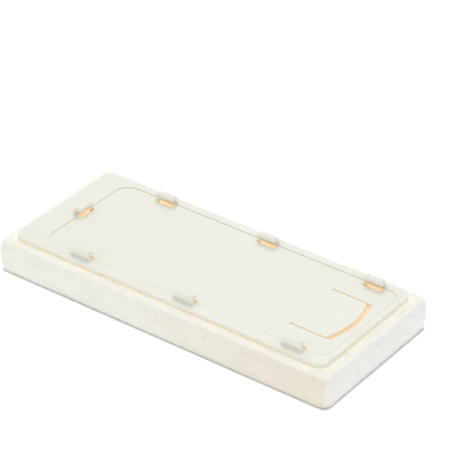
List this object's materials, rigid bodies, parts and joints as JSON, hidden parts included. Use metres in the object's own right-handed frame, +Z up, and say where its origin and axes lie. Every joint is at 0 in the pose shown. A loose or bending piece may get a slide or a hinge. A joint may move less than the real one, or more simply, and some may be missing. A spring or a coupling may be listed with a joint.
{
  "type": "clip-on sponge pad",
  "caption": "Rectangular open-cell sponge block bonded to a thin moulded plate with edge clips and a spring tongue, a refill that clips under a tiler's wash float.",
  "frame": {"origin": "centre of the sponge's flat working face, which lies on the ground", "axes": "+X along the pad's length towards the spring tongue, +Y across its width, +Z up from the working face to the clips"},
  "size_m": [0.328, 0.14, 0.0409],
  "materials": {
    "sponge": "matte",
    "adhesive": "satin",
    "plate": "satin",
    "tongue": "satin",
    "clips": "satin"
  },
  "bodies": {
    "pad": {"sponge_block": "sponge", "adhesive_layer": "adhesive", "backing_plate": "plate", "clip_near_left": "clips", "clip_near_middle": "clips", "clip_near_right": "clips", "clip_far_left": "clips", "clip_far_middle": "clips", "clip_far_right": "clips", "clip_left_end": "clips"},
    "tongue": {"latch_tongue": "tongue"}
  },
  "joints": [
    {"name": "tongue_flex", "type": "hinge", "parent": "pad", "child": "tongue", "pos_m": [0.1015, 0, 0.0326], "axis": [0, 1, 0], "range_deg": [-5, 2.3], "stiffness_Nm_per_rad": 2.2}
  ]
}
